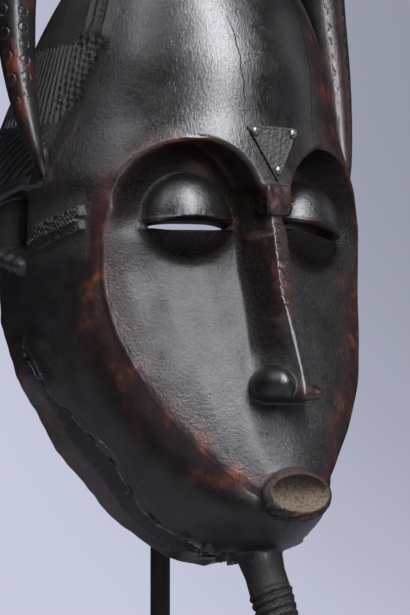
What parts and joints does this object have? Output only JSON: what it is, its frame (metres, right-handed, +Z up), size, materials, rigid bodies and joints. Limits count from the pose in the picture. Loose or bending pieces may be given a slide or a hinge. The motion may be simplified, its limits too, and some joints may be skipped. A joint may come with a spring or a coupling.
{
  "type": "yaure mask",
  "caption": "Carved dark wooden face mask with curved horns, combed hair, closed slit eyes, a long nose and a plaited beard, held on a steel rod and foot.",
  "frame": {"origin": "the middle of the underside of the stand's foot", "axes": "+Z up, the mask's face looks along -Y, +X is on the viewer's right as the viewer faces the mask"},
  "size_m": [0.208, 0.168, 0.5011],
  "materials": {
    "carved_wood": "near-black glossy patina, worn to red-brown on the edges",
    "plate_metal": "dark, grainy and dull",
    "nail_metal": "dark, a little polished on top",
    "stand_steel": "black satin paint"
  },
  "bodies": {
    "root": {"mask": "carved_wood", "forehead_plate": "plate_metal", "plate_nail_left": "nail_metal", "plate_nail_right": "nail_metal", "plate_nail_bottom": "nail_metal", "stand_rod": "stand_steel", "stand_foot": "stand_steel"}
  },
  "joints": []
}
